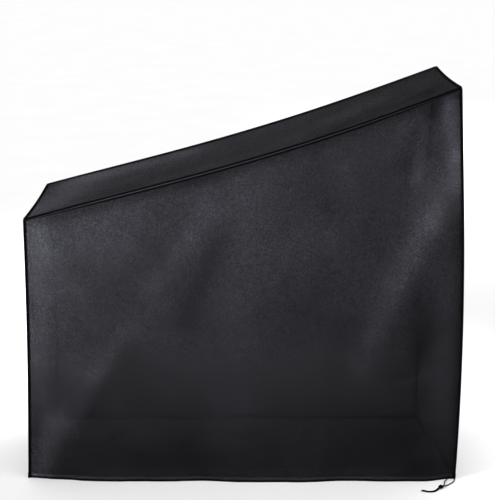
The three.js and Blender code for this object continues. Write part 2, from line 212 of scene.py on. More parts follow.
def cloth_material(name, axes, alpha, shade=1.0, spread=SHEER_EVEN):
    """Woven cloth on a panel that spans the two axes: threads, slubs, grain, a faint check and
    soft clouds, and painted light and shade: a little paler towards the top and the rear, and the
    mesh's painted shading. Its sheerness is uneven, by the spread to both sides of alpha. Where
    the grain is calm, its peaks are cut, so that no single dark specks are left."""
    finish = Finish(name, [c * shade for c in CLOTH_COLOR], alpha=alpha, **CLOTH)
    places = finish.axes()

    def check(pitch):
        return finish.math("MULTIPLY", *(finish.wave(places[axis], pitch) for axis in axes))

    checks = finish.math("MULTIPLY", check(CHECK_PITCH), finish.attribute("check"))
    strength = finish.attribute("grain")
    grain = finish.math("SUBTRACT", finish.noise(GRAIN_SCALE), GRAIN_MIDDLE)
    grain = finish.math("MULTIPLY_ADD", grain, strength, GRAIN_MIDDLE)
    grain = finish.math("MINIMUM", grain, finish.math("MULTIPLY_ADD", strength, *GRAIN_PEAK))
    slubs = []
    for axis in axes:
        stretch = [1 if other == axis else SLUB_STRETCH for other in "XYZ"]
        slubs.append(finish.noise(SLUB_SCALE, stretch=stretch))
    # Painted shade towards the bottom and painted light towards the rear end
    share = finish.remap(places["Z"], *RISE_PAINTED_SHADE)
    factors = [
        finish.remap(places["X"], *REACH_PAINTED_LIGHT),
        # Painted light and shade that the mesh gives
        finish.attribute("painted_shading"),
        finish.math("ADD", checks, 1.0),
        finish.remap(finish.noise(CLOUD_SCALE, turn=CLOUD_TURN), *CLOUD_TONES),
        finish.remap(grain, *GRAIN_TONES),
        finish.remap(finish.noise(FLECK_SCALE), *FLECK_TONES),
        *[finish.remap(slub, *SLUB_TONES) for slub in slubs],
    ]
    for factor in factors:
        share = finish.math("MULTIPLY", share, factor)
    finish.tint(share)
    density = finish.math("MULTIPLY_ADD", checks, CHECK_IN_SHEER, grain)
    sheerness = (alpha + spread[0], min(alpha + spread[1], 1))
    finish.links.new(finish.remap(density, SHEER_SPAN, sheerness), finish.shader.inputs["Alpha"])
    finish.relief(finish.math("MULTIPLY_ADD", check(WEAVE_PITCH), WEAVE_IN_RELIEF, grain), CLOTH_RELIEF)
    return finish.material


def tape_material(name, color, axis, alpha=1.0):
    """A ribbed binding tape whose ribs follow each other along the axis."""
    finish = Finish(name, color, alpha=alpha, **TAPE)
    ribs = finish.wave(finish.axes()[axis], RIB_PITCH)
    fuzz = finish.noise(TAPE_FUZZ_SCALE, detail=2.0)
    finish.tint(finish.remap(fuzz, *TAPE_TONES))
    finish.relief(finish.math("MULTIPLY_ADD", ribs, RIBS_IN_RELIEF, fuzz), TAPE_RELIEF)
    return finish.material


def thread_material(name, color):
    finish = Finish(name, color, **THREAD)
    twist = finish.noise(TWIST_SCALE)
    finish.tint(finish.remap(twist, *TWIST_TONES))
    finish.relief(twist, THREAD_RELIEF)
    return finish.material


def cord_material(name, color):
    """A fine round braid: small cells that overlap."""
    finish = Finish(name, color, **BRAID)
    cells = finish.nodes.new("ShaderNodeTexVoronoi")
    cells.inputs["Scale"].default_value = BRAID_SCALE
    finish.links.new(finish.place(), cells.inputs["Vector"])
    finish.tint(finish.remap(finish.noise(CORD_FUZZ_SCALE, detail=2.0), *CORD_TONES))
    finish.relief(cells.outputs["Distance"], CORD_RELIEF)
    return finish.material


# Mesh helpers

# A direction that no path starts along
OFF_AXIS = (0.3, 0.2, 1.0)


def unit(vectors):
    return vectors / np.linalg.norm(vectors, axis=-1, keepdims=True)


def dot(a, b):
    return (a * b).sum(axis=-1, keepdims=True)


def smooth(t):
    t = np.clip(t, 0, 1)
    return t * t * (3 - 2 * t)


def distances(line):
    """How far along a line of points each of them lies."""
    return np.concatenate([[0], np.cumsum(np.linalg.norm(np.diff(line, axis=0), axis=1))])


def add_mesh(name, points, faces, materials, face_materials=None, sharp_degrees=50):
    mesh = bpy.data.meshes.new(name)
    mesh.from_pydata([tuple(p) for p in points], [], faces)
    for material in materials:
        mesh.materials.append(material)
    if face_materials is not None:
        mesh.polygons.foreach_set("material_index", face_materials)
    mesh.shade_smooth()
    mesh.set_sharp_from_angle(angle=math.radians(sharp_degrees))
    mesh.validate()
    piece = bpy.data.objects.new(name, mesh)
    bpy.context.scene.collection.objects.link(piece)
    return piece


def dress(piece, slot, *nodes):
    """The piece rides on the frame and stands for the nodes that are named. The slot is not used."""
    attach(piece, "root")
    if nodes:
        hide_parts(*nodes)
    return piece


def tube_ring(path, radius, sides):
    """Points and faces of a tube along a closed path."""
    path = np.asarray(path, float)
    tangents = unit(np.roll(path, -1, axis=0) - np.roll(path, 1, axis=0))
    normal = np.cross(tangents[0], OFF_AXIS)
    points = []
    for place, tangent in zip(path, tangents):
        normal = unit(normal - tangent * normal.dot(tangent))
        side = np.cross(tangent, normal)
        for i in range(sides):
            angle = 2 * math.pi * i / sides
            points.append(place + radius * (math.cos(angle) * normal + math.sin(angle) * side))
    faces = []
    for ring in range(len(path)):
        after = (ring + 1) % len(path)
        for i in range(sides):
            j = (i + 1) % sides
            faces.append((ring * sides + i, ring * sides + j, after * sides + j, after * sides + i))
    return points, faces


# Drawcord: each strand runs from the hem through the knot to its bare end. Metres.

CORD_DIAMETER = 0.004
CORD_SAMPLES = 8
KNOT_CENTRE = (0.7024, -0.3976, 0.0066)
KNOT_TURN = 0.76
KNOT_STEPS = 180
KNOT_SIDES = 10
KNOT_REACH = 0.0047
KNOT_SWAY = 0.0026
KNOT_RISE = 0.0042
KNOT_STRAND = 0.0021
STRAND_ROUTES = {
    "a": [
        (0.7630, -0.3169, 0.0090), (0.7630, -0.3210, 0.0084), (0.7626, -0.3260, 0.0054),
        (0.7612, -0.3320, 0.0028), (0.7582, -0.3390, 0.0022), (0.7536, -0.3470, 0.0022),
        (0.7474, -0.3554, 0.0022), (0.7404, -0.3634, 0.0022), (0.7328, -0.3710, 0.0022),
        (0.7250, -0.3780, 0.0024), (0.7176, -0.3856, 0.0036), (0.7106, -0.3930, 0.0054),
        (0.6978, -0.4053, 0.0054), (0.6922, -0.4118, 0.0036), (0.6860, -0.4190, 0.0023),
        (0.6796, -0.4254, 0.0022), (0.6720, -0.4304, 0.0022), (0.6636, -0.4316, 0.0022),
        (0.6554, -0.4320, 0.0022), (0.6474, -0.4298, 0.0022), (0.6390, -0.4246, 0.0022),
        (0.6290, -0.4214, 0.0022),
    ],
    "b": [
        (0.7400, -0.3174, 0.0140), (0.7400, -0.3218, 0.0130), (0.7380, -0.3266, 0.0090),
        (0.7338, -0.3304, 0.0049), (0.7286, -0.3350, 0.0024), (0.7248, -0.3412, 0.0022),
        (0.7226, -0.3484, 0.0022), (0.7216, -0.3560, 0.0022), (0.7202, -0.3640, 0.0022),
        (0.7178, -0.3718, 0.0023), (0.7138, -0.3800, 0.0036), (0.7070, -0.3901, 0.0054),
        (0.6946, -0.4019, 0.0054), (0.6886, -0.4086, 0.0036), (0.6824, -0.4158, 0.0023),
        (0.6768, -0.4214, 0.0022), (0.6704, -0.4254, 0.0022), (0.6634, -0.4268, 0.0022),
        (0.6560, -0.4272, 0.0022), (0.6494, -0.4252, 0.0022), (0.6416, -0.4202, 0.0022),
        (0.6336, -0.4170, 0.0022),
    ],
}


def smooth_route(route, samples):
    """A centripetal Catmull-Rom curve through the route, in short steps."""
    points = [np.array(p) for p in route]
    points = [2 * points[0] - points[1], *points, 2 * points[-1] - points[-2]]
    path = []
    for p0, p1, p2, p3 in zip(points, points[1:], points[2:], points[3:]):
        t1 = np.linalg.norm(p1 - p0) ** 0.5
        t2 = t1 + np.linalg.norm(p2 - p1) ** 0.5
        t3 = t2 + np.linalg.norm(p3 - p2) ** 0.5
        for t in np.linspace(t1, t2, samples, endpoint=False):
            a1 = p0 + (p1 - p0) * (t / t1)
            a2 = p1 + (p2 - p1) * ((t - t1) / (t2 - t1))
            a3 = p2 + (p3 - p2) * ((t - t2) / (t3 - t2))
            b1 = a1 + (a2 - a1) * (t / t2)
            b2 = a2 + (a3 - a2) * ((t - t1) / (t3 - t1))
            path.append(b1 + (b2 - b1) * ((t - t1) / (t2 - t1)))
    return path + [points[-2]]


def knot_mesh():
    """An overhand knot pulled tight: one fat strand that goes twice round and makes three lobes."""
    angles = np.linspace(0, 2 * math.pi, KNOT_STEPS, endpoint=False)
    reach = KNOT_REACH + KNOT_SWAY * np.cos(3 * angles)
    path = np.stack([
        reach * np.cos(2 * angles), reach * np.sin(2 * angles), KNOT_RISE * np.sin(3 * angles)], axis=1)
    points, faces = tube_ring(path, KNOT_STRAND, KNOT_SIDES)
    turn = np.array([[math.cos(KNOT_TURN), -math.sin(KNOT_TURN), 0],
                     [math.sin(KNOT_TURN), math.cos(KNOT_TURN), 0], [0, 0, 1]])
    return np.array(points) @ turn.T + np.array(KNOT_CENTRE), faces


cord_finish = cord_material("cord_braid", CORD_COLOR)
knot = add_mesh("drawcord_knot_turns", *knot_mesh(), [cord_finish], sharp_degrees=80)
dress(knot, "drawcord", "drawcord_knot")

for strand, route in STRAND_ROUTES.items():
    path = smooth_route(route, CORD_SAMPLES)
    curve = bpy.data.curves.new(f"drawcord_strand_{strand}", "CURVE")
    curve.dimensions = "3D"
    curve.bevel_depth = CORD_DIAMETER / 2
    curve.bevel_resolution = 3
    curve.use_fill_caps = True
    curve.materials.append(cord_finish)
    spline = curve.splines.new("POLY")
    spline.points.add(len(path) - 1)
    spline.points.foreach_set("co", [c for p in path for c in (*p, 1)])
    spline.use_smooth = True
    cord = bpy.data.objects.new(f"drawcord_strand_{strand}", curve)
    bpy.context.scene.collection.objects.link(cord)
    dress(cord, "drawcord", f"drawcord_leg_{strand}", f"drawcord_tail_{strand}")


# Cloth panels: the same edges, folds and waves as the part's source, in millimetres

LENGTH = 1500
WIDTH = 600
REAR_HEIGHT = 963
FRONT_HEIGHT = 1420
REAR_X = -763
FRONT_X = REAR_X + LENGTH
NEAR_Y = -290
FAR_Y = NEAR_Y + WIDTH
SHEET_THICKNESS = 2
HEM_HEIGHT = 18
HEM_STEP = 3
HEM_PROUD = 1
HEM_SHADE = 2.5
# The hem's lowest edge is darkened to near black: painted shade where the hem's fold meets the floor.
EDGE_HEIGHT = 8
EDGE_SHADE = 0.2
SEAM_CLEARANCE = 0.45
FOLD_RISE = 120
FINE_RISE = 60

CORNERS = {
    "near_rear": ((REAR_X, NEAR_Y, REAR_HEIGHT), (REAR_X - 19, NEAR_Y - 3, 0)),
    "near_front": ((FRONT_X, NEAR_Y, FRONT_HEIGHT), (FRONT_X + 25, NEAR_Y - 22, 0)),
    "far_rear": ((REAR_X, FAR_Y, REAR_HEIGHT + 2), (REAR_X + 6, FAR_Y - 24, 0)),
    "far_front": ((FRONT_X, FAR_Y, FRONT_HEIGHT + 1), (FRONT_X - 37, FAR_Y - 28, 0)),
}


def edge(start, end, bow, skew=1.0):
    """Points from start to end, plus a bow whose peak the skew moves to and fro."""
    start, end, bow = (np.array(p, float) for p in (start, end, bow))

    def points(s):
        s = np.asarray(s, float)[..., None]
        return start + (end - start) * s + bow * np.sin(np.pi * s ** skew)
    return points


def corner_edge(first, second, place, bow, skew=1.0):
    return edge(CORNERS[first][place], CORNERS[second][place], bow, skew)


def upright_edge(corner, bow, skew=1.0):
    top, hem = CORNERS[corner]
    return edge(hem, top, bow, skew)


TOP, HEM = 0, 1
EDGES = {
    "near_top": corner_edge("near_rear", "near_front", TOP, (0, 3, -28.5), 1.25),
    "far_top": corner_edge("far_rear", "far_front", TOP, (0, -3, -26), 1.15),
    "rear_top": corner_edge("near_rear", "far_rear", TOP, (2, 0, -4)),
    "front_top": corner_edge("near_front", "far_front", TOP, (-2, 0, -5)),
    "near_hem": corner_edge("near_rear", "near_front", HEM, (0, -14, 0)),
    "far_hem": corner_edge("far_rear", "far_front", HEM, (0, 9, 0)),
    "rear_hem": corner_edge("near_rear", "far_rear", HEM, (-6, 0, 0)),
    "front_hem": corner_edge("near_front", "far_front", HEM, (7, 0, 0)),
    "near_rear": upright_edge("near_rear", (5, 0, 0)),
    "near_front": upright_edge("near_front", (19, 0, 0), 0.87),
    "far_rear": upright_edge("far_rear", (9, 5, 0)),
    "far_front": upright_edge("far_front", (-14, 6, 0), 1.2),
}

# Each panel has its four edges, its angles to its neighbours there in degrees, its flat size in
# metres, and its alphas: its own, its hem's and that of the hem's lowest edge. In its own two axes,
# a fold is (x1, y1, x2, y2, width, height), and a wave along the hem is (length, start, height).
# Creases are finer folds that only the fine sheet has. Painted light strokes, checks and calm are
# folds too: their last number says how much paler or darker the cloth is painted there, as painted
# light and shade, how much stronger its check and how much calmer its grain. The fold shade scales
# the painted shading on the folds, the seam shade is a painted shade under the top seam, and the
# shade darkens a panel's whole cloth, which on the top is painted shade.
PANELS = {
    "near_side": dict(
        axes="XZ", outward=(0, -1, 0), length=LENGTH, hemmed=True, bulge=6, seed=11, fold_shade=1,
        low="near_hem", high="near_top", left="near_rear", right="near_front",
        seam_angles={"left": 90, "right": 90, "high": 90},
        waves=[(560, 0.4, 5), (255, 2.1, 2.5)],
        folds=[
            (660, 1352, 580, 1150, 42, -15), (722, 1090, 552, 745, 62, 13),
            (552, 745, 392, 330, 58, 12), (706, 640, 590, 190, 72, -11),
            (-742, 70, -600, 430, 50, 10), (-735, 915, -560, 690, 45, 8),
            (-240, 1060, -420, 300, 95, -9), (80, 1130, -40, 240, 105, 8),
            (250, 1190, 330, 980, 50, -7),
        ],
        hem_push=[(-700, 0, 700, 0, 150, 19)],
        creases=[
            (640, 1330, 600, 1250, 20, -3), (690, 1345, 700, 1240, 18, 2.5),
            (560, 1290, 500, 1180, 22, 2), (700, 1010, 640, 900, 26, 3),
            (470, 560, 420, 430, 24, 2.5), (-700, 900, -640, 830, 18, 2),
            (-690, 140, -650, 260, 20, 2), (700, 160, 640, 60, 22, -2.5),
        ],
        # Strokes of painted light and shade
        painted_light_strokes=[
            (702, 1365, 728, 1180, 28, 1.5), (728, 1180, 731, 1085, 32, 0.9),
            (660, 1360, 620, 1170, 22, -0.35), (727, 1105, 655, 960, 55, 0.85),
            (655, 960, 590, 850, 45, 0.5), (590, 820, 470, 550, 38, 0.42),
            (735, 880, 640, 640, 50, -0.1), (712, 760, 712, 120, 60, 0.3),
            (640, 560, 560, 380, 55, -0.3),
            (700, 411, 545, 359, 10, 0.4), (695, 546, 640, 517, 12, -0.15),
            (766, 950, 778, 60, 30, -0.6), (-746, 920, -730, 460, 62, 0.8),
            (-748, 560, -745, 60, 52, 0.75), (-690, 840, -650, 560, 50, 0.12),
            (-755, 680, -725, 500, 16, -0.4),
            (-740, 255, -752, 140, 16, -0.35), (-760, 20, -665, 210, 50, 1.2),
            (-665, 210, -530, 410, 50, 0.6), (-530, 410, -420, 560, 45, 0.4),
            (-555, 243, -412, 508, 28, -0.25), (-118, 991, -331, 718, 36, 0.3),
            (-77, 891, -206, 600, 45, -0.3), (-587, 946, -290, 980, 110, 0.25),
            (-640, 965, -100, 1110, 40, -0.2), (618, 1290, 600, 1120, 32, 0.7),
            (-300, 760, -380, 560, 60, 0.2), (-620, 700, -600, 480, 50, 0.12),
            (240, 880, 420, 700, 120, 0.12), (480, 130, 640, 60, 90, -0.3),
            (-560, 32, 560, 32, 24, 0.25), (-560, 110, -300, 90, 80, -0.25),
        ],
        checks=[(683, 905, 690, 700, 75, 0.5), (-690, 850, -700, 500, 60, 0.2)],
        calm=[
            (-620, 90, 640, 90, 130, 0.75), (-600, 320, 560, 320, 150, 0.5),
            (-740, 880, -730, 250, 60, 0.5), (735, 520, 745, 100, 60, 0.5),
            (725, 1330, 730, 1000, 60, 0.5),
        ],
        flat=(1.580, 1.425), area=1.81, alpha=0.785, seam_shade=0.4, spread=(-0.045, 0.18),
        hem_alpha=0.85, edge_alpha=0.97),
    "far_side": dict(
        axes="XZ", outward=(0, 1, 0), length=LENGTH, hemmed=True, bulge=16, seed=23, fold_shade=2.6,
        low="far_hem", high="far_top", left="far_rear", right="far_front",
        seam_angles={"left": 90, "right": 90, "high": 90},
        waves=[(470, 1.3, 5), (230, 0.2, 2.5)],
        folds=[
            (-560, 905, -390, 120, 72, 11), (-120, 1080, -210, 150, 85, -10),
            (230, 1180, 330, 210, 82, 11), (560, 1300, 470, 420, 62, -13),
            (672, 1260, 612, 300, 50, 8), (-700, 820, -650, 300, 48, -7),
        ],
        creases=[
            (-600, 860, -540, 760, 22, 2.5), (600, 1290, 560, 1180, 22, -3),
            (660, 1180, 640, 1060, 20, 2.5), (-420, 240, -380, 100, 26, 2.5),
            (350, 330, 360, 190, 26, 2.5), (-690, 180, -640, 60, 20, -2),
        ],
        flat=(1.520, 1.425), area=1.76, alpha=0.66, hem_alpha=0.76, edge_alpha=0.85),
    "top": dict(
        axes="XY", outward=(-0.29, 0, 0.957), length=LENGTH, hemmed=False, bulge=-14, seed=37,
        fold_shade=1,
        low="near_top", high="far_top", left="rear_top", right="front_top",
        seam_angles={"left": 105, "right": 70, "low": 90, "high": 90},
        waves=[],
        folds=[
            (-540, -110, -200, -180, 48, -9), (-390, -20, -70, 200, 62, 8),
            (240, -160, 640, 80, 52, -10), (190, -30, 600, 200, 52, 8),
            (-700, 160, -520, 50, 50, 5),
        ],
        creases=[
            (560, -240, 660, -150, 20, -3), (600, -110, 690, -20, 22, 2.5),
            (-480, -130, -330, -160, 20, -2), (330, -90, 480, -10, 24, -2.5),
            (-690, -200, -620, -130, 18, 2),
        ],
        # Strokes of painted light and shade
        painted_light_strokes=[
            (-735, -150, -610, 260, 110, 1.3), (-600, 240, -240, 240, 85, 1.4),
            (-180, 240, 300, 250, 60, 0.2), (-484, -75, 23, 18, 60, -0.25),
            (-620, -270, 250, -280, 70, -0.4), (300, -190, 640, -95, 45, -0.55),
            (330, 40, 670, 110, 60, 0.5), (690, 220, 710, -220, 70, -0.1),
        ],
        # The top's shade darkens all its cloth: painted shade, so that the top looks less lit than the
        # sides.
        flat=(0.604, 1.568), area=None, alpha=0.82, spread=(-0.08, 0.15), shade=0.56),
    "rear_end": dict(
        axes="YZ", outward=(-1, 0, 0), length=WIDTH, hemmed=True, bulge=6, seed=41, fold_shade=2.6,
        low="rear_hem", high="rear_top", left="near_rear", right="far_rear",
        seam_angles={"left": 90, "right": 90, "high": 105},
        waves=[(330, 0.9, 5)],
        folds=[(-110, 880, -150, 60, 62, 9), (100, 870, 150, 90, 62, -9)],
        creases=[(-220, 880, -180, 800, 20, 2), (220, 240, 250, 110, 20, 2)],
        flat=(0.602, 0.965), area=None, alpha=0.64, hem_alpha=0.74, edge_alpha=0.84),
    "front_end": dict(
        axes="YZ", outward=(1, 0, 0), length=WIDTH, hemmed=True, bulge=5, seed=53, fold_shade=2.6,
        low="front_hem", high="front_top", left="near_front", right="far_front",
        seam_angles={"left": 90, "right": 90, "high": 70},
        waves=[(310, 2.4, 5)],
        folds=[
            (-140, 1330, -80, 90, 62, 10), (80, 1360, 140, 70, 62, -10),
            (230, 1290, 0, 720, 52, 8),
        ],
        creases=[(-230, 1340, -190, 1230, 20, 2.5), (200, 1330, 150, 1230, 20, -2.5)],
        flat=(0.602, 1.422), area=None, alpha=0.64, hem_alpha=0.74, edge_alpha=0.84),
}

# Distances of the grid lines from a seam and from the free hem, and how many even ones lie between
SEAM_LINES = (3, 6, 9, 12, 13.6, 14.8, 16, 17.6, 20, 25, 32)
HEM_LINES = (0, 0.8, 2.2, 4.5, 8, 12, 15, 16.8, 18, 19, 20, 21, 23, 27, 32)
LENGTH_LINES = 170
WIDTH_LINES = 66
HEIGHT_LINES = 118

# Relief that only the fine sheet has
PUCKER_START = 17
PUCKER_RISE = 12
PUCKER_FADE = 26
PUCKER_HEIGHT = 0.8
PUCKER_LENGTH = 34
PUCKER_SHORT_LENGTH = 21
PUCKER_BEAT = 41
ALLOWANCE_LINE = 14.8
ALLOWANCE_WIDTH = 1.4
ALLOWANCE_HEIGHT = 0.7
SEAM_END_RISE = 30
DENTS_PER_SQUARE_METRE = 42
DENT_LEAN = 0.5
DENT_REACH = (30, 110)
DENT_WIDTH = (11, 24)
DENT_HEIGHT = (0.5, 1.5)
RIPPLES = 14
RIPPLE_LENGTH = (45, 150)
RIPPLE_HEIGHT = 0.13

# What the mesh tells the cloth's material at each point
LOOKS = ("painted_shading", "check", "grain")
# Painted light and shade: the folds' ridges are paler and their troughs darker, by their heights.
PAINTED_SHADE_PER_FOLD = 0.022
PAINTED_SHADE_PER_CREASE = 0.06
PAINTED_SHADE_RANGE = (0.3, 3.2)
CHECK_FLOOR = 0.06
GRAIN_RANGE = (0.2, 1)
SEAM_SHADE_PLACE = 18
SEAM_SHADE_WIDTH = 24


def soft_dents(panel, low, high):
    """Small soft dents and creases, as folds, spread over a panel's box. They stand rather
    upright, as in hanging cloth."""
    draw = np.random.default_rng(panel["seed"])
    count = int(DENTS_PER_SQUARE_METRE * (high[0] - low[0]) * (high[1] - low[1]) * MM * MM)
    dents = []
    for _ in range(count):
        x, y = draw.uniform(low, high)
        angle = math.pi / 2 + draw.normal(0, DENT_LEAN)
        reach = draw.uniform(*DENT_REACH)
        width = draw.uniform(*DENT_WIDTH)
        height = draw.uniform(*DENT_HEIGHT) * draw.choice((-1, 1))
        dx, dy = reach * math.cos(angle), reach * math.sin(angle)
        dents.append((x - dx, y - dy, x + dx, y + dy, width, height))
    return dents


def ripple_height(panel, x, y):
    """A faint crumple: many low waves in all directions."""
    draw = np.random.default_rng(panel["seed"] + 1)
    total = np.zeros_like(x)
    for _ in range(RIPPLES):
        angle = draw.uniform(0, math.pi)
        length = draw.uniform(*RIPPLE_LENGTH)
        start = draw.uniform(0, 2 * math.pi)
        along = x * math.cos(angle) + y * math.sin(angle)
        total += np.sin(2 * math.pi * along / length + start)
    return RIPPLE_HEIGHT * total


def fold_height(x, y, x1, y1, x2, y2, width, height):
    dx, dy = x2 - x1, y2 - y1
    t = np.clip(((x - x1) * dx + (y - y1) * dy) / (dx * dx + dy * dy), 0, 1)
    return height * np.exp(-((x - x1 - t * dx) ** 2 + (y - y1 - t * dy) ** 2) / width ** 2)


def fold_sum(x, y, folds):
    return sum((fold_height(x, y, *fold) for fold in folds), np.zeros_like(x))


def seam_height(along, away, clear, start):
    """Puckers next to a seam, and the line of the allowance that is sewn down inside."""
    turn = 2 * math.pi * along
    wave = (np.sin(turn / PUCKER_LENGTH + start) * (0.6 + 0.4 * np.sin(along / PUCKER_BEAT + 2 * start))
            + 0.5 * np.sin(turn / PUCKER_SHORT_LENGTH + 3 * start))
    past = away - PUCKER_START
    fade = smooth(past / PUCKER_RISE) * np.exp(-np.maximum(past, 0) / PUCKER_FADE)
    line = ALLOWANCE_HEIGHT * np.exp(-((away - ALLOWANCE_LINE) / ALLOWANCE_WIDTH) ** 2)
    return (PUCKER_HEIGHT * wave * fade + line) * smooth(clear / SEAM_END_RISE)


def patch_point(panel, u, v):
    """A Coons patch between the panel's four edges, and its span from the low to the high edge."""
    low, high = (EDGES[panel[side]](u) for side in ("low", "high"))
    left, right = (EDGES[panel[side]](v) for side in ("left", "right"))
    a, b = u[..., None], v[..., None]
    point = low * (1 - b) + high * b + left * (1 - a) + right * a
    ends = [[EDGES[panel[side]](float(s)) for s in (0, 1)] for side in ("low", "high")]
    point -= ends[0][0] * (1 - a) * (1 - b) + ends[0][1] * a * (1 - b)
    point -= ends[1][0] * (1 - a) * b + ends[1][1] * a * b
    return point, np.linalg.norm(high - low, axis=-1)


def cloth_point(panel, u, v):
    """The outer face of the cloth at shares u and v of the panel's two directions, and its looks:
    the painted light and shade, the strength of the check and that of the grain."""
    point, span = patch_point(panel, u, v)
    x, y = (point[..., "XYZ".index(axis)] for axis in panel["axes"])
    length = panel["length"]
    from_left, from_right = u * length, (1 - u) * length
    from_low, from_high = v * span, (1 - v) * span
    from_sides = np.minimum(from_left, from_right)

    def window(rise):
        inside = smooth(from_sides / rise) * smooth(from_high / rise)
        return inside if panel["hemmed"] else inside * smooth(from_low / rise)

    folds = fold_sum(x, y, panel["folds"])
    for wave_length, start, height in panel["waves"]:
        folds += (1 - v) ** 2 * height * np.sin(2 * math.pi * x / wave_length + start)
    folds *= window(FOLD_RISE)
    fine = fold_sum(x, y, panel["creases"] + panel["dents"]) + ripple_height(panel, x, y)
    fine *= window(FINE_RISE)

    # Painted light and shade: paler on the folds' ridges and darker in their troughs, strokes of
    # painted light and shade, and a painted shade just under the seam at the high edge.
    painted_shading = 1 + panel["fold_shade"] * (PAINTED_SHADE_PER_FOLD * folds + PAINTED_SHADE_PER_CREASE * fine)
    painted_shading += fold_sum(x, y, panel.get("painted_light_strokes", ()))
    shade = np.exp(-((from_high - SEAM_SHADE_PLACE) / SEAM_SHADE_WIDTH) ** 2)
    painted_shading -= panel.get("seam_shade", 0) * shade
    check = CHECK_FLOOR + fold_sum(x, y, panel.get("checks", ()))
    grain = 1 - fold_sum(x, y, panel.get("calm", ()))
    looks = np.stack([np.clip(painted_shading, *PAINTED_SHADE_RANGE), check, np.clip(grain, *GRAIN_RANGE)], axis=-1)

    push = folds + fine
    push += window(FOLD_RISE) * fold_sum(x, y, panel.get("hem_push", ()))
    push += panel["bulge"] * np.sin(math.pi * u) * np.sin(math.pi * v)
    upright = np.minimum(from_low, from_high)
    push += seam_height(span * v, from_left, upright, panel["seed"])
    push += seam_height(span * v, from_right, upright, panel["seed"] + 1)
    push += seam_height(length * u, from_high, from_sides, panel["seed"] + 2)
    if not panel["hemmed"]:
        push += seam_height(length * u, from_low, from_sides, panel["seed"] + 3)
    return point + push[..., None] * np.array(panel["outward"]), looks


def grid_lines(lows, highs, count):
    """Grid lines as (fixed distance, share of the span), close together next to both edges."""
    first, last = lows[-1], highs[-1]
    shares = np.linspace(0, 1, count + 1)[1:-1]
    return ([(d, 0) for d in lows] + [(first - t * (first + last), t) for t in shares]
            + [(-d, 1) for d in reversed(highs)])


def cloth_face(panel, inner):
    """One face of the sheet as a grid of points, with its normals and looks. The inner face is
    cut back further along each seam, so that two sheets meet in a mitre."""
    def lines(side):
        if side == "low" and panel["hemmed"]:
            return HEM_LINES
        half = math.radians(panel["seam_angles"][side] / 2)
        return (SEAM_CLEARANCE + (SHEET_THICKNESS / math.tan(half) if inner else 0), *SEAM_LINES)

    across = LENGTH_LINES if panel["length"] == LENGTH else WIDTH_LINES
    up = HEIGHT_LINES if panel["hemmed"] else WIDTH_LINES
    columns = np.array(grid_lines(lines("left"), lines("right"), across))
    rows = np.array(grid_lines(lines("low"), lines("high"), up))
    u = columns[:, 1] + columns[:, 0] / panel["length"]
    low, high = (EDGES[panel[side]](u) for side in ("low", "high"))
    span = np.linalg.norm(high - low, axis=-1)
    v = rows[:, 1, None] + rows[:, 0, None] / span[None, :]
    u = np.broadcast_to(u, v.shape)
    point, looks = cloth_point(panel, u, v)
    normal = unit(np.cross(np.gradient(point, axis=1), np.gradient(point, axis=0)))
    if normal.reshape(-1, 3).sum(axis=0).dot(panel["outward"]) < 0:
        normal = -normal
    offset = np.zeros(v.shape)
    if inner:
        offset -= SHEET_THICKNESS
    elif panel["hemmed"]:
        offset += HEM_PROUD * smooth((HEM_HEIGHT + HEM_STEP - v * span) / HEM_STEP)
    point = point + offset[..., None] * normal
    if panel["hemmed"]:
        point[0, :, 2] = 0
    return point, normal, looks


def sheet_faces(rows, columns, flip, finish_of_row):
    """Faces of a closed sheet from two grids of points, and the finish of each."""
    def at(face, row, column):
        return face * rows * columns + row * columns + column

    faces, face_finishes = [], []
    for row in range(rows - 1):
        for column in range(columns - 1):
            corners = ((row, column), (row, column + 1), (row + 1, column + 1), (row + 1, column))
            outer = [at(0, *corner) for corner in corners]
            inner = [at(1, *corner) for corner in reversed(corners)]
            faces += [outer[::-1], inner[::-1]] if flip else [outer, inner]
            face_finishes += [finish_of_row[row]] * 2
    rim = [(0, c) for c in range(columns - 1)] + [(r, columns - 1) for r in range(rows - 1)]
    rim += [(rows - 1, c) for c in range(columns - 1, 0, -1)] + [(r, 0) for r in range(rows - 1, 0, -1)]
    for here, after in zip(rim, rim[1:] + rim[:1]):
        face = [at(1, *here), at(1, *after), at(0, *after), at(0, *here)]
        faces.append(face[::-1] if flip else face)
        face_finishes.append(finish_of_row[min(here[0], after[0], rows - 2)])
    return faces, face_finishes


def panel_box(panel):
    """The least and the greatest place of the panel's corners, in its own two axes."""
    corners = np.array([EDGES[panel[side]](np.array([0.0, 1.0])) for side in ("low", "high")])
    places = corners.reshape(-1, 3)[:, ["XYZ".index(axis) for axis in panel["axes"]]]
    return places.min(axis=0), places.max(axis=0)


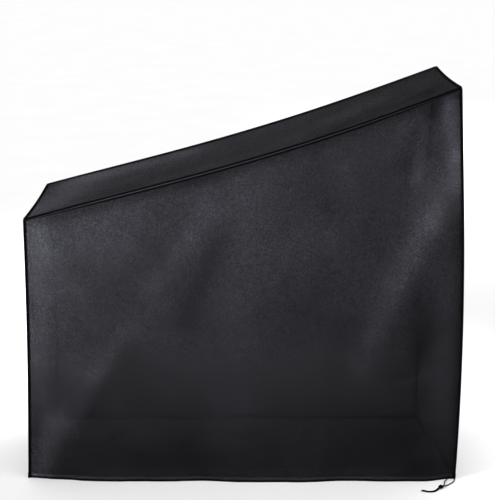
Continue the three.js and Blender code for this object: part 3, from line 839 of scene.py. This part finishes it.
outer_faces = {}
for name, panel in PANELS.items():
    panel["dents"] = soft_dents(panel, *panel_box(panel))
    outer, normal, looks = cloth_face(panel, False)
    inner, _, inner_looks = cloth_face(panel, True)
    outer_faces[name] = (outer, normal)
    turn = np.cross(outer[1, 1] - outer[1, 0], outer[2, 0] - outer[1, 0]).dot(panel["outward"])
    finishes = [cloth_material(f"{name}_weave", panel["axes"], panel["alpha"],
                               panel.get("shade", 1.0), panel.get("spread", SHEER_EVEN))]
    finish_of_row = np.zeros(len(outer), int)
    if panel["hemmed"]:
        # A paler hem band, and its lowest edge darkened: painted shade along the floor.
        bands = (("hem", HEM_HEIGHT, HEM_SHADE), ("edge", EDGE_HEIGHT, EDGE_SHADE))
        for band, height, shade in bands:
            finish_of_row[:HEM_LINES.index(height)] = len(finishes)
            finishes.append(cloth_material(f"{name}_{band}_weave", panel["axes"],
                                           panel[f"{band}_alpha"], shade))
    faces, face_finishes = sheet_faces(*outer.shape[:2], turn < 0, finish_of_row)
    points = np.concatenate([outer.reshape(-1, 3), inner.reshape(-1, 3)]) * MM
    cloth = add_mesh(f"{name}_cloth", points, faces, finishes, face_finishes)
    looks = np.concatenate([looks.reshape(-1, len(LOOKS)), inner_looks.reshape(-1, len(LOOKS))])
    for label, values in zip(LOOKS, looks.T):
        attribute = cloth.data.attributes.new(label, "FLOAT", "POINT")
        attribute.data.foreach_set("value", np.ascontiguousarray(values))
    dress(cloth, "cover_cloth", f"{name}_panel")
    panel["piece"] = cloth


# Bindings: tape folded over each seam, with a round ridge, and stitching along both legs

BINDING_THICKNESS = 1
BINDING_GAP = 0.4
BINDING_TOP = BINDING_GAP + BINDING_THICKNESS
BINDING_LEG = 6
WIDE_BINDING_LEG = 12
WIDE_RISE = 0.25
LEG_ROUND = 0.15
LEG_CHAMFER = 0.3
STRIP_RISE = 0.1
STRIP_INSET = 1.8
STRIP_INSET_WIDE = 0.83
RIDGE_FOOT = 3.2
RIDGE_FOOT_WIDE = 0.35
RIDGE_PLACE = 3.0
RIDGE_RADIUS = 2.5
RIDGE_DEGREES = (115, 75, 38, 0, -38, -75, -115)
RIDGE_CUT = 0.3
HEM_CUT = 1.8
SEAM_CUT = 7.6
CUT_MARGIN = 1
SEAM_REACH = 4
STITCH_PITCH = 3.8
STITCH_LENGTH = 2.7
STITCH_THICKNESS = 0.55
STITCH_INSET = 1.7
STITCH_STEP = 0.5
STITCH_ARCH = ((0.0, -0.35), (0.5, 0.75), (1.0, -0.35))

# A binding's cross section has six points on one leg, the ridge, six points on the other leg and
# the inner corner. The strip is the face that lies flat on the first leg. On the near top binding's
# wide leg it takes a paler tape: painted light on the flat tape, between dark edges.
LEG_POINTS = 6
STRIP_FACE = 3
RIDGE_SLICE = slice(LEG_POINTS, LEG_POINTS + len(RIDGE_DEGREES))
RIDGE_FACES = range(RIDGE_SLICE.start - 1, RIDGE_SLICE.stop)

# Each has its name, its two sheets and their edges, what is cut off at its two ends, which leg is
# wide, and the axis that it runs along.
CORNER_CUT = (HEM_CUT, SEAM_CUT)
CROSS_CUT = (SEAM_CUT, SEAM_CUT)
BINDINGS = [
    ("near_top_binding", ("near_side", "high"), ("top", "low"), (0, 0), 0, "X"),
    ("far_top_binding", ("far_side", "high"), ("top", "high"), (0, 0), 1, "X"),
    ("rear_top_binding", ("rear_end", "high"), ("top", "left"), CROSS_CUT, None, "Y"),
    ("front_top_binding", ("front_end", "high"), ("top", "right"), CROSS_CUT, None, "Y"),
    ("near_rear_binding", ("near_side", "left"), ("rear_end", "left"), CORNER_CUT, None, "Z"),
    ("near_front_binding", ("near_side", "right"), ("front_end", "left"), CORNER_CUT, None, "Z"),
    ("far_rear_binding", ("far_side", "left"), ("rear_end", "right"), CORNER_CUT, None, "Z"),
    ("far_front_binding", ("far_side", "right"), ("front_end", "right"), CORNER_CUT, None, "Z"),
]


def seam_points(name, side):
    """A sheet's points on its edge along a seam, and a little way in from it."""
    grid = outer_faces[name][0]
    return {
        "low": (grid[0], grid[SEAM_REACH]), "high": (grid[-1], grid[-1 - SEAM_REACH]),
        "left": (grid[:, 0], grid[:, SEAM_REACH]), "right": (grid[:, -1], grid[:, -1 - SEAM_REACH]),
    }[side]


def cut_ends(line, cut, *arrays, ends=None):
    """The arrays between two distances from the ends of a line of points. The last points may
    instead be taken at other distances, the ends."""
    places = distances(line)
    inside = (places > cut[0] + CUT_MARGIN) & (places < places[-1] - cut[1] - CUT_MARGIN)
    first, last = ends or cut
    kept = np.concatenate([[first], places[inside], [places[-1] - last]])

    def resample(array):
        columns = array.reshape(len(places), -1)
        cut_columns = [np.interp(kept, places, column) for column in columns.T]
        return np.stack(cut_columns, axis=1).reshape(len(kept), *array.shape[1:])
    return [resample(array) for array in arrays]


def leg_points(edge_line, along, out, leg):
    """From the leg's inner end round its outer end and back to the foot of the ridge."""
    spare = leg - BINDING_LEG
    strip = leg - STRIP_INSET - spare * STRIP_INSET_WIDE
    foot = RIDGE_FOOT - spare * RIDGE_FOOT_WIDE
    rings = [
        (leg, BINDING_GAP), (leg + LEG_ROUND, BINDING_GAP + BINDING_THICKNESS / 2),
        (leg - LEG_CHAMFER, BINDING_TOP), (strip, BINDING_TOP + STRIP_RISE),
        (foot, BINDING_TOP + STRIP_RISE), (foot - STRIP_RISE, BINDING_TOP),
    ]
    return [edge_line + along * t + out * h for t, h in rings]


def binding_shape(side_a, side_b, wide):
    """The corner line of a seam, the binding's cross sections along it, the lines of the
    stitching with their outward directions, and the direction of the first leg."""
    (edge_a, in_a), (edge_b, in_b) = seam_points(*side_a), seam_points(*side_b)
    tangent = unit(np.gradient(edge_a, axis=0))
    along_a, along_b = unit(in_a - edge_a), unit(in_b - edge_b)
    out_a, out_b = unit(np.cross(tangent, along_a)), unit(np.cross(tangent, along_b))
    out_a *= -np.sign(dot(out_a, along_b))
    out_b *= -np.sign(dot(out_b, along_a))
    back = dot(edge_a - edge_b, out_b) / dot(along_a, out_b)
    corner = edge_a - along_a * back
    mitre = (out_a + out_b) / (1 + dot(out_a, out_b))
    s = np.linspace(0, 1, len(edge_a))[:, None]
    legs = [np.full_like(s, BINDING_LEG), np.full_like(s, BINDING_LEG)]
    if wide is not None:
        middle = smooth(s / WIDE_RISE) * smooth((1 - s) / WIDE_RISE)
        legs[wide] += (WIDE_BINDING_LEG - BINDING_LEG) * middle
    diagonal = unit(mitre)
    across = unit(out_a - diagonal * dot(out_a, diagonal))
    ridge = []
    for angle in np.radians(RIDGE_DEGREES):
        ridge.append(corner + diagonal * (RIDGE_PLACE + RIDGE_RADIUS * math.cos(angle))
                     + across * RIDGE_RADIUS * math.sin(angle))
    sides = ((edge_a, along_a, out_a, legs[0]), (edge_b, along_b, out_b, legs[1]))
    section = (leg_points(*sides[0]) + ridge + leg_points(*sides[1])[::-1]
               + [corner + mitre * BINDING_GAP])
    stitching = []
    for edge_line, along, out, leg in sides:
        stitching += [edge_line + along * (leg - STITCH_INSET) + out * (BINDING_TOP + STRIP_RISE), out]
    return corner, np.stack(section, axis=1), stitching, along_a


def stitch_row(path, normals):
    """Points and faces of a row of short stitches that lie on a path. Each has three rings of
    four points."""
    places = distances(path)
    starts = np.arange(STITCH_PITCH, places[-1] - STITCH_PITCH, STITCH_PITCH)

    def along(s, values):
        return np.stack([np.interp(s, places, column) for column in values.T], axis=1)

    rings = []
    half = STITCH_THICKNESS / 2
    for share, lift in STITCH_ARCH:
        place = starts + share * STITCH_LENGTH
        centre, normal = along(place, path), unit(along(place, normals))
        forward = unit(along(place + STITCH_STEP, path) - along(place - STITCH_STEP, path))
        side = np.cross(forward, normal)
        centre = centre + normal * lift * half
        rings.append([centre + side * half, centre + normal * half,
                      centre - side * half, centre - normal * half])
    points = np.array(rings).transpose(2, 0, 1, 3).reshape(-1, 3)
    faces = []
    for first in range(0, len(points), 12):
        for ring in (first, first + 4):
            faces += [(ring + i, ring + (i + 1) % 4, ring + 4 + (i + 1) % 4, ring + 4 + i)
                      for i in range(4)]
        faces += [(first + 3, first + 2, first + 1, first),
                  (first + 8, first + 9, first + 10, first + 11)]
    return points, faces


def join_parts(parts):
    """Several lists of points and faces as one."""
    points, faces = [], []
    for part_points, part_faces in parts:
        faces += [tuple(len(points) + i for i in face) for face in part_faces]
        points += list(part_points)
    return points, faces


thread = thread_material("stitching_thread", THREAD_COLOR)
tape_dark = {axis: tape_material(f"tape_{axis}", TAPE_COLOR, axis) for axis in "XYZ"}
tape_painted_light = tape_material("tape_painted_light", PAINTED_LIGHT_TAPE_COLOR, "X")
tape_sheer = tape_material("tape_sheer", SHEER_TAPE_COLOR, "Z", alpha=SHEER_TAPE_ALPHA)

for name, side_a, side_b, cut, wide, axis in BINDINGS:
    corner, whole, stitching, along_a = binding_shape(side_a, side_b, wide)
    rings, *stitching = cut_ends(corner, cut, whole, *stitching)
    ridge_ends = [min(c, RIDGE_CUT) for c in cut]
    rings[:, RIDGE_SLICE] = cut_ends(corner, cut, whole, ends=ridge_ends)[0][:, RIDGE_SLICE]
    count, size = rings.shape[:2]
    # The near top binding's flat strip takes the paler tape: painted light.
    if axis == "Z":
        second, second_faces = tape_sheer, [i for i in range(size) if i not in RIDGE_FACES]
    else:
        second, second_faces = tape_painted_light, [STRIP_FACE] if wide == 0 else []
    faces, face_finishes = [], []
    for ring in range(0, (count - 1) * size, size):
        for i in range(size):
            j = (i + 1) % size
            faces.append((ring + i, ring + j, ring + size + j, ring + size + i))
            face_finishes.append(i in second_faces)
    faces += [tuple(range(size))[::-1], tuple((count - 1) * size + i for i in range(size))]
    face_finishes += [False, False]
    points = rings.reshape(-1, 3)
    triangle = points[[faces[0][0], faces[0][1], faces[0][3]]]
    if np.cross(triangle[1] - triangle[0], triangle[2] - triangle[0]).dot(along_a[1]) < 0:
        faces = [face[::-1] for face in faces]
    tape = add_mesh(f"{name}_tape", points * MM, faces, [tape_dark[axis], second], face_finishes,
                    sharp_degrees=55)
    dress(tape, "seam_binding", name)
    points, faces = join_parts(stitch_row(*pair) for pair in zip(stitching[::2], stitching[1::2]))
    row = add_mesh(f"{name}_stitching", np.array(points) * MM, faces, [thread])
    dress(row, "seam_binding")


# Worked eyelets where the drawcord leaves the hem, in metres, and stitching along the hems

EYELET_RADIUS = 0.00246
EYELET_THREAD = 0.00034
EYELET_BACK = 0.0003
EYELET_STEPS = 28
EYELET_SIDES = 6
EYELET_SLOTS = {"a": "seam_binding", "b": "cover_cloth"}

for strand, route in STRAND_ROUTES.items():
    start = Vector(route[0])
    forward = (Vector(route[1]) - start).normalized()
    side = forward.cross(Vector((0, 0, 1))).normalized()
    up = side.cross(forward)
    angles = np.linspace(0, 2 * math.pi, EYELET_STEPS, endpoint=False)
    ring = [start - forward * EYELET_BACK + EYELET_RADIUS * (math.cos(a) * side + math.sin(a) * up)
            for a in angles]
    points, faces = tube_ring(ring, EYELET_THREAD, EYELET_SIDES)
    eyelet = add_mesh(f"drawcord_eyelet_{strand}", points, faces, [thread], sharp_degrees=80)
    dress(eyelet, EYELET_SLOTS[strand])

HEM_STITCH_HEIGHT = 15
HEM_STITCH_LINE = HEM_LINES.index(HEM_STITCH_HEIGHT)
HEM_STITCHES = slice(SEAM_REACH + 3, -SEAM_REACH - 3)

for name, panel in PANELS.items():
    if panel["hemmed"]:
        path, normals = (grid[HEM_STITCH_LINE, HEM_STITCHES] for grid in outer_faces[name])
        points, faces = stitch_row(path, normals)
        row = add_mesh(f"{name}_hem_stitching", points * MM, faces, [thread])
        dress(row, "cover_cloth")


# Floor and light

FLOOR_REACH = 90
FLOOR_DROP = 0.0005
FLOOR_COLOR = (0.93, 0.93, 0.93)
FLOOR_GRAIN_SCALE = 2.0
FLOOR_TONES = ((0.2, 0.8), (0.99, 1.01))
WORLD_STRENGTH = 1.06

# Each has its name, place, target, size, power in watts and spread in degrees.
LIGHTS = [
    ("key", (-2.2, -1.65, 1.6), (-0.35, -0.3, 1.12), (1.0, 1.0), 18, 54),
    ("background_left", (-1.1, 1.9, 1.5), (-1.1, 1.9, 0.0), (0.7, 2.6), 17, 80),
    ("background_right", (1.7, 6.3, 1.8), (1.7, 6.3, 0.0), (0.8, 4.4), 40, 80),
    ("background_low", (0.0, 0.95, 1.2), (0.0, 0.95, 0.0), (1.3, 0.7), 9, 80),
    ("fill_right", (1.35, -0.1, 1.1), (1.2, -0.1, 0.0), (0.4, 0.9), 1.2, 80),
]

floor_finish = Finish("floor", FLOOR_COLOR, roughness=0.9, specular=0.1)
floor_grain = floor_finish.noise(FLOOR_GRAIN_SCALE, detail=2.0)
floor_finish.tint(floor_finish.remap(floor_grain, *FLOOR_TONES))
floor_corners = [(x * FLOOR_REACH, y * FLOOR_REACH, 0) for x, y in ((-1, -1), (1, -1), (1, 1), (-1, 1))]
floor = add_mesh("floor", floor_corners, [(0, 1, 2, 3)], [floor_finish.material])
floor.location.z = -FLOOR_DROP

for name, place, target, size, power, spread in LIGHTS:
    light = bpy.data.lights.new(name, "AREA")
    light.shape = "RECTANGLE"
    light.size, light.size_y = size
    light.energy = power
    light.spread = math.radians(spread)
    lamp = bpy.data.objects.new(name, light)
    lamp.location = place
    lamp.rotation_euler = (Vector(target) - Vector(place)).to_track_quat("-Z", "Y").to_euler()
    lamp.visible_camera = False
    bpy.context.scene.collection.objects.link(lamp)

world = bpy.data.worlds.new("studio")
world.use_nodes = True
world.node_tree.nodes["Background"].inputs["Color"].default_value = (1, 1, 1, 1)
world.node_tree.nodes["Background"].inputs["Strength"].default_value = WORLD_STRENGTH
bpy.context.scene.world = world
bpy.context.scene.view_settings.view_transform = "Standard"
